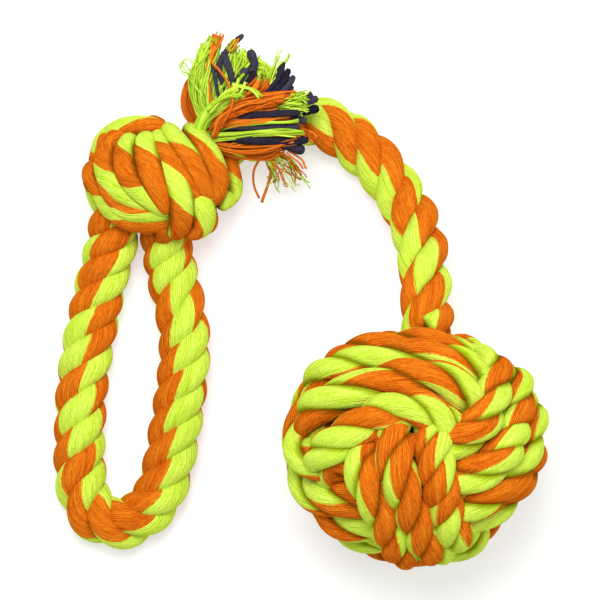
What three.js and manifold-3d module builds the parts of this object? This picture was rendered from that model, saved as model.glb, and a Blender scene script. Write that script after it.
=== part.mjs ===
// A rope dog toy, laid out on the floor: a ball wound like a monkey's fist, the main rope that
// leaves it, a tight knot in the doubled rope, the handle loop below the knot, and the rope's
// end above it, opened into three tufts of yarn. Millimetres, +Z up, the floor at z = 0.
import * as THREE from 'three';
import { mergeVertices } from 'three/addons/utils/BufferGeometryUtils.js';
import Module from 'manifold-3d';

const wasm = await Module();
wasm.setup();

// Driving sizes of the whole toy
const rope_diameter = 20;
const ball_diameter = 97;
const band_turns = { first: 4, second: 4, third: 3 };
const seat_gap = 0.3;

// Parts of a cord's diameter that the floor presses flat
const floor_flat_share = 0.1;
const full_turn = Math.PI * 2;

// Solids, booleans and sweeps

// A closed three.js geometry as a solid, with only its corners kept.
function solidFrom(geometry) {
  const bare = geometry.clone();
  bare.deleteAttribute('normal');
  bare.deleteAttribute('uv');
  const merged = mergeVertices(bare, 1e-4);
  return new wasm.Manifold(new wasm.Mesh({
    numProp: 3,
    vertProperties: merged.attributes.position.array,
    triVerts: new Uint32Array(merged.index.array),
  }));
}

// A solid as a three.js geometry with flat faces.
function geometryFrom(solid) {
  const mesh = solid.getMesh();
  const geometry = new THREE.BufferGeometry();
  geometry.setAttribute('position', new THREE.BufferAttribute(mesh.vertProperties, 3));
  geometry.setIndex(new THREE.BufferAttribute(mesh.triVerts, 1));
  const flat = geometry.toNonIndexed();
  flat.computeVertexNormals();
  return flat;
}

// The biggest of the bodies that a cut leaves.
function biggestPiece(solid) {
  const pieces = solid.decompose();
  pieces.sort((a, b) => b.volume() - a.volume());
  return pieces[0];
}

// A solid with the slivers along its cuts merged into their neighbours.
const merge_tolerance = 0.05;

function leaner(solid) {
  return solid.asOriginal().simplify(merge_tolerance);
}

// A tube of any cord along a curve, with flat ends.
function tubeAlong(curve, steps, radius, sides) {
  const section = new THREE.Shape();
  for (let side = 0; side < sides; side += 1) {
    const angle = (side / sides) * full_turn;
    const corner = [radius * Math.cos(angle), radius * Math.sin(angle)];
    if (side === 0) section.moveTo(...corner);
    else section.lineTo(...corner);
  }
  section.closePath();
  return new THREE.ExtrudeGeometry(section, { steps, extrudePath: curve, bevelEnabled: false });
}

function routeCurve(route) {
  const points = route.map((point) => new THREE.Vector3(...point));
  return new THREE.CatmullRomCurve3(points, false, 'centripetal');
}

// Everything under the floor plane, to press a resting cord flat.
const toy_reach = 400;

function belowFloor() {
  const slab = new THREE.BoxGeometry(toy_reach, toy_reach, toy_reach);
  slab.translate(0, 0, -toy_reach / 2);
  return solidFrom(slab);
}

const parts = new THREE.Group();
parts.name = 'rope_dog_toy';

function addPart(name, geometry, look) {
  const mesh = new THREE.Mesh(geometry, new THREE.MeshStandardMaterial(look));
  mesh.name = name;
  parts.add(mesh);
  return mesh;
}

const lime_cotton = { color: 0xa9e51e, roughness: 0.92, metalness: 0 };
const orange_cotton = { color: 0xe0661a, roughness: 0.92, metalness: 0 };
const navy_yarn = { color: 0x2d2b3a, roughness: 0.9, metalness: 0 };
const core_rubber = { color: 0x3a3a3c, roughness: 0.8, metalness: 0 };

// Ball winding. Three bands of turns lie square to each other. Each goes over one neighbour on
// two opposite faces of the ball and under the other on the next two, as in a monkey's fist.
// Inner turns are the two beside a band's middle, outer turns the two at its edges; every turn
// is a rounded oblong, and its reaches are shares of the spacing of the turns.
const turn_gap = 1.3;
const inner_turn_shares = { outer_reach: 3.14, inner_reach: 2.42, squareness: 4 };
const outer_turn_shares = { outer_reach: 2.84, inner_reach: 1.98, squareness: 4 };
const wrap_pitch = (ball_diameter + turn_gap) / (2 * inner_turn_shares.outer_reach + 1);
const wrap_diameter = wrap_pitch - turn_gap;
const full_band_turns = Math.max(...Object.values(band_turns));
const loop_steps = 20;
const loop_sides = 6;
// The climb to the next turn lies in the covered stretch, an eighth of a turn to each side.
const climb_share = 0.25;
const ball_turned_degrees = { x: -140.3, y: 9.7, z: -109.9 };
const ball_turned = new THREE.Matrix4().makeRotationFromEuler(new THREE.Euler(
  THREE.MathUtils.degToRad(ball_turned_degrees.x),
  THREE.MathUtils.degToRad(ball_turned_degrees.y),
  THREE.MathUtils.degToRad(ball_turned_degrees.z),
));
// The real ball is not quite round: it is widest across the floor, square to the main rope.
const ball_squeeze_shares = { x: 1.025, y: 0.944, z: 0.985 };
const ball_squeezed = new THREE.Matrix4().makeScale(
  ball_squeeze_shares.x,
  ball_squeeze_shares.y,
  ball_squeeze_shares.z,
).multiply(ball_turned);

// The middle line of one band, before it is turned into its place. u points through the faces
// where the band lies outside, v through those where it lies inside, w along the stack of turns.
class BandCurve extends THREE.Curve {
  constructor(turns, axes) {
    super();
    this.turns = turns;
    this.axes = axes;
    this.span = turns - climb_share;
  }

  getPoint(t) {
    const travelled = climb_share / 2 + t * this.span;
    const turn = Math.floor(travelled + climb_share / 2);
    const along = travelled - turn;
    const climbed = Math.min(along / climb_share - 1 / 2, 0);
    const stacked = Math.min(Math.max(turn + climbed, 0), this.turns - 1);
    const offset = stacked - (full_band_turns - 1) / 2 + (full_band_turns - this.turns);
    const outer_part = Math.min(Math.max(Math.abs(offset) - 1 / 2, 0), 1);
    const mixed = (key) => THREE.MathUtils.lerp(
      inner_turn_shares[key],
      outer_turn_shares[key],
      outer_part,
    );
    const angle = (travelled + 1 / 4) * full_turn;
    const power = mixed('squareness');
    const cosine = Math.cos(angle);
    const sine = Math.sin(angle);
    const reach = (Math.abs(cosine / mixed('outer_reach')) ** power
      + Math.abs(sine / mixed('inner_reach')) ** power) ** (-1 / power);
    const place = [0, 0, 0];
    place[this.axes.u] = reach * cosine * wrap_pitch;
    place[this.axes.v] = reach * sine * wrap_pitch;
    place[this.axes.w] = offset * wrap_pitch;
    return new THREE.Vector3(...place).applyMatrix4(ball_squeezed);
  }
}

const bands = {
  ball_band_first: new BandCurve(band_turns.first, { u: 0, v: 1, w: 2 }),
  ball_band_second: new BandCurve(band_turns.second, { u: 1, v: 2, w: 0 }),
  ball_band_third: new BandCurve(band_turns.third, { u: 2, v: 0, w: 1 }),
};

// The least gap between one part of a band's tube and any other part of it.
const gap_samples_per_turn = 48;

function leastGapToItself(curve) {
  const count = Math.round(curve.turns * gap_samples_per_turn);
  const points = curve.getSpacedPoints(count);
  const step = curve.getLength() / count;
  const apart = Math.ceil((2 * wrap_diameter) / step);
  let least = Infinity;
  for (let i = 0; i < points.length; i += 1) {
    for (let j = i + apart; j < points.length; j += 1) {
      least = Math.min(least, points[i].distanceTo(points[j]));
    }
  }
  return least - wrap_diameter;
}

function bandTube(curve, thicker) {
  const steps = Math.round(loop_steps * curve.span);
  return solidFrom(tubeAlong(curve, steps, wrap_diameter / 2 + thicker, loop_sides));
}

const band_solids = {};
for (const [name, curve] of Object.entries(bands)) {
  band_solids[name] = bandTube(curve, 0);
  console.log(`${name}: least gap to itself ${leastGapToItself(curve).toFixed(2)} mm`);
}

// Where two bands cross, the turns press into each other: the first keeps its round section, it
// hollows the second, and both hollow the third. Each stays one unbroken rope.
const thicker_bands = {};
for (const [name, curve] of Object.entries(bands)) {
  thicker_bands[name] = bandTube(curve, seat_gap);
}
band_solids.ball_band_second = biggestPiece(
  band_solids.ball_band_second.subtract(thicker_bands.ball_band_first),
);
band_solids.ball_band_third = biggestPiece(
  band_solids.ball_band_third
    .subtract(thicker_bands.ball_band_first)
    .subtract(thicker_bands.ball_band_second),
);

const ball_bottom = Math.min(
  ...Object.values(band_solids).map((solid) => solid.boundingBox().min[2]),
);
const ball_height = -ball_bottom - wrap_diameter * floor_flat_share;
const ball_place = new THREE.Vector3(0, 0, ball_height);
const floor = belowFloor();
for (const [name, solid] of Object.entries(band_solids)) {
  const placed = leaner(solid).translate(ball_place.toArray());
  addPart(name, geometryFrom(placed.subtract(floor)), orange_cotton);
}

// Ball core, a plain round ball that the winding is pulled tight on
const nearest_turn = Math.min(...Object.values(bands).flatMap((curve) => (
  curve.getSpacedPoints(curve.turns * gap_samples_per_turn).map((point) => point.length())
)));
const core_radius = nearest_turn - wrap_diameter / 2 - seat_gap;
const core_facets = { around: 20, down: 12 };
const core = new THREE.SphereGeometry(core_radius, core_facets.around, core_facets.down);
addPart('ball_core', core, core_rubber).position.copy(ball_place);

// Routes of the free rope, from the middle of the ball, with heights above the floor
const main_rope_route = [
  [5.6, 34, 45], [5.2, 45, 43], [4.8, 55, 39], [4.4, 65, 33], [3.5, 76, 25.5], [0.4, 88, 18],
  [-5.4, 99, 12], [-12.3, 108.5, 8.8], [-20, 116.5, 8], [-28, 122.8, 8], [-37, 127, 8],
  [-47, 128.6, 8.2], [-57, 127.4, 9], [-66, 123.5, 11], [-74.5, 117.5, 13.5], [-84, 110, 16],
];
const handle_loop_route = [
  [-113, 98, 17], [-115.4, 89, 14.5], [-117.4, 79, 11], [-121, 66, 8.6], [-124.2, 51.6, 8],
  [-127, 37, 8], [-129, 22, 8], [-129.8, 6, 8], [-129.8, -8, 8], [-128, -19.5, 8],
  [-123.6, -26.6, 8], [-117.6, -29.6, 8], [-111, -29.2, 8], [-104.6, -25.4, 8],
  [-99.5, -19.4, 8], [-96, -10, 8], [-93, 5, 8], [-90.6, 20, 8], [-89, 34, 8], [-89.2, 46, 8],
  [-91.3, 57, 8], [-94, 68, 8.8], [-95.9, 79, 11], [-96.2, 89, 14.5], [-95.6, 98, 17],
];
const free_rope_sides = 12;
const main_rope_steps = 26;
const handle_loop_steps = 42;

// Handle knot. Two turns of the doubled rope, pulled tight, and the bight round the handle end
// are a body of rope rings. On it lie the strands that show, each along places counted from the
// middle of the ball, raised above the knot's round or sunk in it.
const knot_place = new THREE.Vector3(-97, 103.6, 24);
const knot_axis_degrees = 52.7;
const knot_half = { length: 24.5, width: 26.2, height: 17.2 };
const knot_rope_share = 0.76;
const knot_rope = rope_diameter * knot_rope_share;
const knot_rings = [
  { along: 11.5, aside: -3, reach: 19.4 },
  { along: -2, aside: -0.4, reach: 23.5 },
  { along: -13.5, aside: 5, reach: 15.4 },
];
const knot_ring_height = { reach: 12.5, sunk: 4.8 };
const knot_strands = {
  far_edge: {
    thick: 8.8,
    raised: -9,
    places: [[-122.5, 111], [-122.5, 101.5], [-119, 92.5], [-113, 87]],
  },
  bight_outer: {
    thick: 9.4,
    raised: -4,
    places: [
      [-122.5, 116.5], [-124, 109], [-123, 101], [-119, 93.5], [-111, 88.5], [-101.5, 87.5],
      [-94, 88],
    ],
  },
  bight_middle: {
    thick: 8,
    raised: -2.6,
    places: [[-122, 102], [-116.5, 95], [-109, 91.5], [-101, 91], [-94.5, 91]],
  },
  bight_top: {
    thick: 9.4,
    raised: -3,
    places: [[-122, 114], [-119.5, 119], [-114.5, 122.5], [-108, 124], [-100.5, 123.5], [-95, 121]],
  },
  bight_inner: {
    thick: 9.8,
    raised: -1.5,
    places: [
      [-118, 120.5], [-119.5, 114.5], [-117.5, 106.5], [-113, 100], [-105.5, 96], [-96.5, 92.5],
    ],
  },
  handle_turn_first: {
    thick: 8.8,
    raised: -0.5,
    places: [[-109, 121], [-111, 115], [-110.5, 108], [-105.5, 100], [-101, 95.5], [-95.5, 92.5]],
  },
  handle_turn_second: {
    thick: 10.6,
    raised: 0.6,
    places: [[-103, 120.5], [-103, 114.5], [-101, 106.5], [-98, 98.5], [-94.5, 93]],
  },
  handle_turn_third: {
    thick: 9.8,
    raised: 0.3,
    places: [[-97.5, 114], [-94, 108], [-91, 101], [-90, 93.5], [-90.5, 87.5], [-92, 84]],
  },
  handle_turn_fourth: {
    thick: 9.4,
    raised: -0.5,
    places: [[-86, 98.5], [-82.5, 95], [-81, 90], [-82, 86], [-86, 83.5]],
  },
  rope_turn_first: {
    thick: 11.2,
    raised: 0.5,
    places: [
      [-100, 122.5], [-94, 120.5], [-88.5, 115], [-85.5, 107.5], [-82.5, 100.5], [-79.5, 94.5],
    ],
  },
  rope_turn_second: {
    thick: 10,
    raised: 0.3,
    places: [[-86, 123], [-81.5, 118], [-78.5, 111], [-76.5, 103], [-77, 97]],
  },
  rope_turn_third: {
    thick: 9.2,
    raised: -2,
    places: [[-78, 119.5], [-73.5, 113], [-71, 105.5], [-71, 99.5], [-74.5, 94.5]],
  },
};
const knot_dip = { depth: 5, flatness: 0.6 };
const knot_facets = { turn: 20, strand: 9, sides: 8, filling: 10 };
const knot_filling_share = 0.9;
const knot_turned = new THREE.Matrix4()
  .makeRotationZ(THREE.MathUtils.degToRad(knot_axis_degrees))
  .setPosition(knot_place);
const knot_unturned = knot_turned.clone().invert();

// One strand that follows the knot's round and dips under its neighbours at both ends.
class KnotStrand extends THREE.Curve {
  constructor(strand) {
    super();
    this.raised = strand.raised;
    this.route = routeCurve(strand.places.map(([x, y]) => [x, y, knot_place.z]));
  }

  getPoint(t) {
    const place = this.route.getPoint(t);
    const local = place.clone().applyMatrix4(knot_unturned);
    const out = (local.x / knot_half.length) ** 2 + (local.y / knot_half.width) ** 2;
    const rise = Math.sqrt(Math.max(0, 1 - out)) * knot_half.height;
    const level = Math.sin(t * Math.PI) ** knot_dip.flatness;
    place.z += rise + this.raised - knot_dip.depth * (1 - level);
    return place;
  }
}

// One ring of the knot's body, a rounded turn across its length.
class KnotRing extends THREE.Curve {
  constructor(ring) {
    super();
    this.ring = ring;
  }

  getPoint(t) {
    const { along, aside, reach } = this.ring;
    const shorter = Math.sqrt(1 - (along / (knot_half.length + knot_rope / 2)) ** 2);
    const angle = t * full_turn;
    return new THREE.Vector3(
      along,
      aside + Math.cos(angle) * reach,
      Math.sin(angle) * knot_ring_height.reach * shorter - knot_ring_height.sunk,
    ).applyMatrix4(knot_turned);
  }
}

function knotSolid(thicker) {
  const { turn, strand, sides, filling } = knot_facets;
  const strands = Object.values(knot_strands).map((one) => (
    solidFrom(tubeAlong(new KnotStrand(one), strand, one.thick / 2 + thicker, sides))
  ));
  const radius = knot_rope / 2 + thicker;
  const rings = knot_rings.map((ring) => (
    solidFrom(tubeAlong(new KnotRing(ring), turn, radius, sides))
  ));
  const round = new THREE.SphereGeometry(1, filling * 2, filling);
  round.scale(
    knot_half.length * knot_filling_share,
    knot_half.width * knot_filling_share,
    knot_half.height * knot_filling_share,
  );
  round.applyMatrix4(knot_turned);
  // The biggest piece is the outside alone, so the knot is solid between its strands.
  return leaner(biggestPiece(wasm.Manifold.union([...strands, ...rings, solidFrom(round)])));
}

const knot = knotSolid(0).subtract(floor);
addPart('handle_knot', geometryFrom(knot), lime_cotton);

// What the free rope has to stay clear of where it goes into the ball and the knot
const ball_clearance = wasm.Manifold.union(Object.values(thicker_bands))
  .translate(ball_place.toArray());
// The thicker knot leaves no gap at its strands' flat ends, so the knot moved aside is added.
const sidesteps = [0, 1, 2].flatMap((axis) => [-seat_gap, seat_gap].map((step) => (
  new THREE.Vector3().setComponent(axis, step).toArray()
)));
const knot_clearance = wasm.Manifold.union([
  knotSolid(seat_gap),
  ...sidesteps.map((sidestep) => knot.translate(sidestep)),
]);

const main_rope = solidFrom(tubeAlong(
  routeCurve(main_rope_route),
  main_rope_steps,
  rope_diameter / 2,
  free_rope_sides,
));
const main_rope_cut = biggestPiece(main_rope.subtract(ball_clearance).subtract(knot_clearance));
addPart('main_rope', geometryFrom(leaner(main_rope_cut).subtract(floor)), orange_cotton);

const handle_loop = solidFrom(tubeAlong(
  routeCurve(handle_loop_route),
  handle_loop_steps,
  rope_diameter / 2,
  free_rope_sides,
));
const handle_loop_cut = biggestPiece(handle_loop.subtract(knot_clearance));
addPart('handle_loop', geometryFrom(leaner(handle_loop_cut).subtract(floor)), lime_cotton);

// Tassel. The rope's three strands part above the knot. Past a short neck each opens into its
// yarns, which fan out side by side without crossing.
const neck_share = 0.48;
const neck_diameter = rope_diameter * neck_share;
const neck_facets = { run: 2, sides: 8 };
const yarns_per_tuft = 100;
const yarn_sides = 3;
const yarn_thickness = { rooted: 0.5, tip: 0.8 };
const yarn_rooting = 1.5;
const golden_turn = full_turn * (3 - Math.sqrt(5)) / 2;
const reach_shares = [1, 0.86, 0.95, 0.78, 0.9, 0.7, 0.97, 0.82];

// Each tuft's neck, from inside the knot to where the yarns part, the middle of its tips, and
// how far the tips stand from that middle, sideways and upwards.
const tufts = {
  tassel_tuft_upper: {
    neck: [[-92, 116, 28], [-83.5, 128, 30], [-81.5, 133.5, 31]],
    tip: [-71, 159.5, 33],
    fan: { wide: 9.8, high: 6.4 },
    look: lime_cotton,
  },
  tassel_tuft_middle: {
    neck: [[-88, 111, 37], [-78.5, 124, 40.5], [-75, 129.5, 42]],
    tip: [-60, 153.5, 41],
    fan: { wide: 8.4, high: 6.2 },
    look: navy_yarn,
  },
  tassel_tuft_side: {
    neck: [[-86, 109, 29], [-75, 119, 30.5], [-69, 121.5, 31.5]],
    tip: [-40.5, 127, 31],
    fan: { wide: 12.5, high: 5.6 },
    look: orange_cotton,
  },
};

// One yarn as a closed three-sided prism from its root to its tip.
function yarnSolid(root, tip, aside, above) {
  const corners = [];
  const ends = [[root, yarn_thickness.rooted], [tip, yarn_thickness.tip]];
  for (const [end, thickness] of ends) {
    for (let side = 0; side < yarn_sides; side += 1) {
      const angle = (side / yarn_sides) * full_turn;
      corners.push(end.clone()
        .addScaledVector(aside, Math.cos(angle) * (thickness / 2))
        .addScaledVector(above, Math.sin(angle) * (thickness / 2)));
    }
  }
  const faces = [[0, 2, 1], [3, 4, 5]];
  for (let side = 0; side < yarn_sides; side += 1) {
    const beside = (side + 1) % yarn_sides;
    faces.push([side, beside, beside + yarn_sides]);
    faces.push([side, beside + yarn_sides, side + yarn_sides]);
  }
  return new wasm.Manifold(new wasm.Mesh({
    numProp: 3,
    vertProperties: new Float32Array(corners.flatMap((corner) => corner.toArray())),
    triVerts: new Uint32Array(faces.flat()),
  }));
}

function tuftSolid({ neck, tip, fan }) {
  const { run, sides } = neck_facets;
  const solids = [solidFrom(tubeAlong(routeCurve(neck), run, neck_diameter / 2, sides))];
  const neck_end = new THREE.Vector3(...neck[2]);
  const fan_end = new THREE.Vector3(...tip);
  const heading = fan_end.clone().sub(neck_end).normalize();
  const aside = new THREE.Vector3(0, 0, 1).cross(heading).normalize();
  const above = heading.clone().cross(aside);
  const bundle = (neck_diameter - yarn_thickness.rooted) / 2 - seat_gap;
  for (let yarn = 0; yarn < yarns_per_tuft; yarn += 1) {
    const out = Math.sqrt((yarn + 1 / 2) / yarns_per_tuft);
    const across = Math.cos(yarn * golden_turn) * out;
    const up = Math.sin(yarn * golden_turn) * out;
    const root = neck_end.clone()
      .addScaledVector(heading, -yarn_rooting)
      .addScaledVector(aside, across * bundle)
      .addScaledVector(above, up * bundle);
    const farthest = fan_end.clone()
      .addScaledVector(aside, across * fan.wide)
      .addScaledVector(above, up * fan.high);
    const yarn_tip = root.clone().lerp(farthest, reach_shares[yarn % reach_shares.length]);
    solids.push(yarnSolid(root, yarn_tip, aside, above));
  }
  return wasm.Manifold.union(solids);
}

for (const [name, tuft] of Object.entries(tufts)) {
  const tuft_solid = leaner(biggestPiece(tuftSolid(tuft).subtract(knot_clearance)));
  addPart(name, geometryFrom(tuft_solid), tuft.look);
}

// The part's frame: the floor, under the middle of the laid-out toy
const laid_out = new THREE.Box3().setFromObject(parts);
const middle = laid_out.getCenter(new THREE.Vector3());
parts.position.set(-middle.x, -middle.y, 0);
parts.updateMatrixWorld(true);

export default parts;
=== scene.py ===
import math
import random

import bmesh
import bpy
import numpy as np
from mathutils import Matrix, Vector


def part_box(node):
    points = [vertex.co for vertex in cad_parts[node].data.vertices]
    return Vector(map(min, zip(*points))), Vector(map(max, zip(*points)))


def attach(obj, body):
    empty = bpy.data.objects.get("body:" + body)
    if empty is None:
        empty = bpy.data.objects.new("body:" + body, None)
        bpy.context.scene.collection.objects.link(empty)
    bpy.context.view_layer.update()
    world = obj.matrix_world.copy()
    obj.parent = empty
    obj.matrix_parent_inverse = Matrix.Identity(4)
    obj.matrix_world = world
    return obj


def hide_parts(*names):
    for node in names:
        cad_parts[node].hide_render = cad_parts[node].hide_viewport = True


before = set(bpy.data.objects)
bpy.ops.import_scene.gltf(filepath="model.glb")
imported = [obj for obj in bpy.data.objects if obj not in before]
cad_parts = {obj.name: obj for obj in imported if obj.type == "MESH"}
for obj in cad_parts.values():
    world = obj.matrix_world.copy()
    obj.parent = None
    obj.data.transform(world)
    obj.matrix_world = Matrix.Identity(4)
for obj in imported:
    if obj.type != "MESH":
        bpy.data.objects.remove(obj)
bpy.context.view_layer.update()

random.seed(7)

# Camera
# The toy lies on its side on a table and is seen from straight above through a long lens, with
# the ball at the lower right. All of the rope's places are counted from the ball's middle.
MM = 0.001
LENS = 0.3
FILM = 0.036
VIEW_WIDTH = 0.2325
VIEW_LEVEL = 0.022
VIEW_LEFT_OF_BALL = 0.0439
VIEW_ABOVE_BALL = 0.0574
FAR_ENOUGH = 50

low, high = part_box("ball_core")
ball_middle = np.array((low + high) / 2)
under_ball = np.array([ball_middle[0], ball_middle[1], 0])

camera = bpy.data.objects.new("camera", bpy.data.cameras.new("camera"))
bpy.context.scene.collection.objects.link(camera)
camera.data.lens = LENS * 1000
camera.data.sensor_width = FILM * 1000
camera.data.clip_end = FAR_ENOUGH
camera.location = under_ball + [
    -VIEW_LEFT_OF_BALL,
    VIEW_ABOVE_BALL,
    VIEW_LEVEL + VIEW_WIDTH * LENS / FILM,
]
bpy.context.scene.camera = camera

# Main rope
# The bare stretch from the ball to the knot: three soft strands of cotton laid round each other,
# each with half of its cover yarns lime and half orange. It starts deep in the ball's winding,
# which grips it, comes down to the table in a bow and ends in the knot.
STRAND = 0.0051
HELIX = 0.0052
ROPE_STEP = 0.001
ROPE_SIDES = 36
YARNS = 36
# How often the yarns turn back while the strands turn once, which makes them run along the rope.
TURNS_BACK = 2.0
up = np.array([0.0, 0.0, 1.0])

# Millimetres right of the ball's middle, above it in the picture, and over the table.
main_places = [
    (5.2, 45, 43), (4.8, 55, 39), (4.4, 65, 33), (3.5, 76, 25.5), (0.4, 88, 18),
    (-5.4, 99, 12), (-12.3, 108.5, 10.5), (-20, 116.5, 10), (-28, 122.8, 10), (-37, 127, 10),
    (-47, 128.6, 10.2), (-57, 127.4, 11), (-66, 123.5, 12.5), (-74.5, 117.5, 14.5), (-84, 110, 16),
]
# Each lobe as dots across and down the picture, where its lime side points, and sometimes how
# far round the strand the lime goes to each side.
main_lobe_dots = [
    (437, 347, -45), (429, 313, 180), (425, 274, 10, 62), (422, 239, -85), (413, 207, 165),
    (394, 180, -90), (371, 154, -125), (342, 138, 180), (313, 126, 60), (284, 119, 150),
    (255, 120, -90), (228, 134, 0),
]


def unit(vectors):
    return vectors / np.linalg.norm(vectors, axis=-1, keepdims=True)


def travelled(points):
    """The way gone along a path at each of its points."""
    steps = np.linalg.norm(np.diff(points, axis=0), axis=1)
    return np.concatenate([[0], np.cumsum(steps)])


def evenly(points, step):
    """The same path with its points about a step apart."""
    along = travelled(points)
    stops = np.linspace(0, along[-1], max(2, round(along[-1] / step) + 1))
    return np.stack([np.interp(stops, along, points[:, axis]) for axis in range(3)], 1)


def smooth_route(places, step):
    """Even points along the centripetal curve through given places."""
    samples = 40
    p = np.array(places, float)
    p = np.vstack([2 * p[0] - p[1], p, 2 * p[-1] - p[-2]])
    found = []
    for a, b, c, d in zip(p, p[1:], p[2:], p[3:]):
        t1 = math.dist(a, b) ** 0.5
        t2 = t1 + math.dist(b, c) ** 0.5
        t3 = t2 + math.dist(c, d) ** 0.5
        t = np.linspace(t1, t2, samples, endpoint=False)[:, None]
        ab = (t1 - t) / t1 * a + t / t1 * b
        bc = (t2 - t) / (t2 - t1) * b + (t - t1) / (t2 - t1) * c
        cd = (t3 - t) / (t3 - t2) * c + (t - t2) / (t3 - t2) * d
        abc = (t2 - t) / t2 * ab + t / t2 * bc
        bcd = (t3 - t) / (t3 - t1) * bc + (t - t1) / (t3 - t1) * cd
        found.append((t2 - t) / (t2 - t1) * abc + (t - t1) / (t2 - t1) * bcd)
    found.append(p[-2:-1])
    return evenly(np.vstack(found), step)


def eased(at, keys, values):
    """Values at keys, with level ground at every key and smooth slopes between them."""
    place = np.clip(np.searchsorted(keys, at, side="right") - 1, 0, len(keys) - 1)
    after = np.minimum(place + 1, len(keys) - 1)
    span = np.maximum(keys[after] - keys[place], 1e-9)
    share = np.clip((at - keys[place]) / span, 0, 1)
    share = share * share * (3 - 2 * share)
    return values[place] + (values[after] - values[place]) * share


PATTERN_PER_METRE = 200
# How far round a strand the painted crease shade fades in, in radians.
CREASE_BLUR = 0.7


def strand_rings(
    middle, radial, turned, half, radius, start, sides, squash=1.0, crease=math.pi
):
    """Rings round a strand's middle line, each point's place among the yarns, how far inside the lime
    yarns it is in radians, and how clear of the crease beside the strand it is, which sets its painted
    crease shade."""
    run = unit(np.gradient(middle, axis=0))
    out = unit(radial - (radial * run).sum(1, keepdims=True) * run)
    right = np.cross(run, out)
    around = np.arange(sides) * 2 * math.pi / sides
    psi = around[None, :] + turned[:, None]
    ring = (
        middle[:, None]
        + (radius[:, None] * np.cos(psi) * squash)[..., None] * out[:, None]
        + (radius[:, None] * np.sin(psi))[..., None] * right[:, None]
    )
    wave = np.broadcast_to(around, psi.shape)
    flow = np.broadcast_to((travelled(middle) * PATTERN_PER_METRE + start)[:, None], psi.shape)
    apart = np.minimum(wave, 2 * math.pi - wave)
    clear = np.clip((crease - np.arccos(np.cos(psi))) / CREASE_BLUR, 0, 1)
    return ring, np.stack([np.cos(wave), np.sin(wave), flow], 2), half[:, None] - apart, clear


def make_strands(name, strands, finish, node):
    """One piece of closed strands, in place of a solid of the frame."""
    corners, faces, first = [], [], 0
    for ring, *_ in strands:
        rings, sides = ring.shape[:2]
        here = first + np.arange((rings - 1) * sides).reshape(rings - 1, sides)
        beside = np.roll(here, -1, axis=1)
        faces += np.stack([here, beside, beside + sides, here + sides], 2).reshape(-1, 4).tolist()
        faces.append(list(range(first + sides - 1, first - 1, -1)))
        last = first + (rings - 1) * sides
        faces.append(list(range(last, last + sides)))
        corners.append(ring.reshape(-1, 3))
        first += rings * sides
    mesh = bpy.data.meshes.new(name)
    mesh.from_pydata(np.vstack(corners).tolist(), [], faces)
    for key, kind, field, values in [
        ("yarn", "FLOAT_VECTOR", "vector", [strand[1] for strand in strands]),
        ("lime", "FLOAT", "value", [strand[2] for strand in strands]),
        ("clear", "FLOAT", "value", [strand[3] for strand in strands]),
    ]:
        layer = mesh.attributes.new(key, kind, "POINT")
        layer.data.foreach_set(field, np.concatenate([value.ravel() for value in values]))
    mesh.shade_smooth()
    piece = bpy.data.objects.new(name, mesh)
    bpy.context.scene.collection.objects.link(piece)
    piece.data.materials.append(finish.material)
    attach(piece, "root")
    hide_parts(node)
    return piece


PICTURE_DOTS = 600


def seen(across, down, height):
    """The place at a height in mm that is seen at a dot of the square picture."""
    drop = camera.location[2] - height * MM
    dot = drop * FILM / LENS / PICTURE_DOTS
    half = PICTURE_DOTS / 2
    return np.array(camera.location) + [(across - half) * dot, (half - down) * dot, -drop]


LOBE_LEVEL = 20


def lobes_at(path, dots):
    """Lobes along a rope that are seen at dots of the picture, on the rope's upper side."""
    found = []
    for across, down, *rest in dots:
        apart = np.linalg.norm((path - seen(across, down, LOBE_LEVEL))[:, :2], axis=1)
        found.append((float(travelled(path)[apart.argmin()]), *rest))
    return found


# Lobes further apart than this have unseen ones between them.
WIDEST_GAP = 0.03
USUAL_GAP = 0.013
# How many unseen lobes the lay goes on for at each end of a rope.
LOBES_BEYOND = 29
PACE_BLUR = 0.011
# How far the lime yarns reach to each side of their middle, in degrees, if a lobe says nothing.
HALF_LIME = 90.0
# Each strand swells and thins a little along its way, in a slow wave and a quick one.
SWELL_WAY = 40
SWELL_SHIFT = 9
SLOW_WAVE = 1.7
SLOW_SWELL = 0.02
QUICK_WAVE = 4.1
QUICK_SWELL = 0.015
PATTERN_SHIFT = 37


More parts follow.
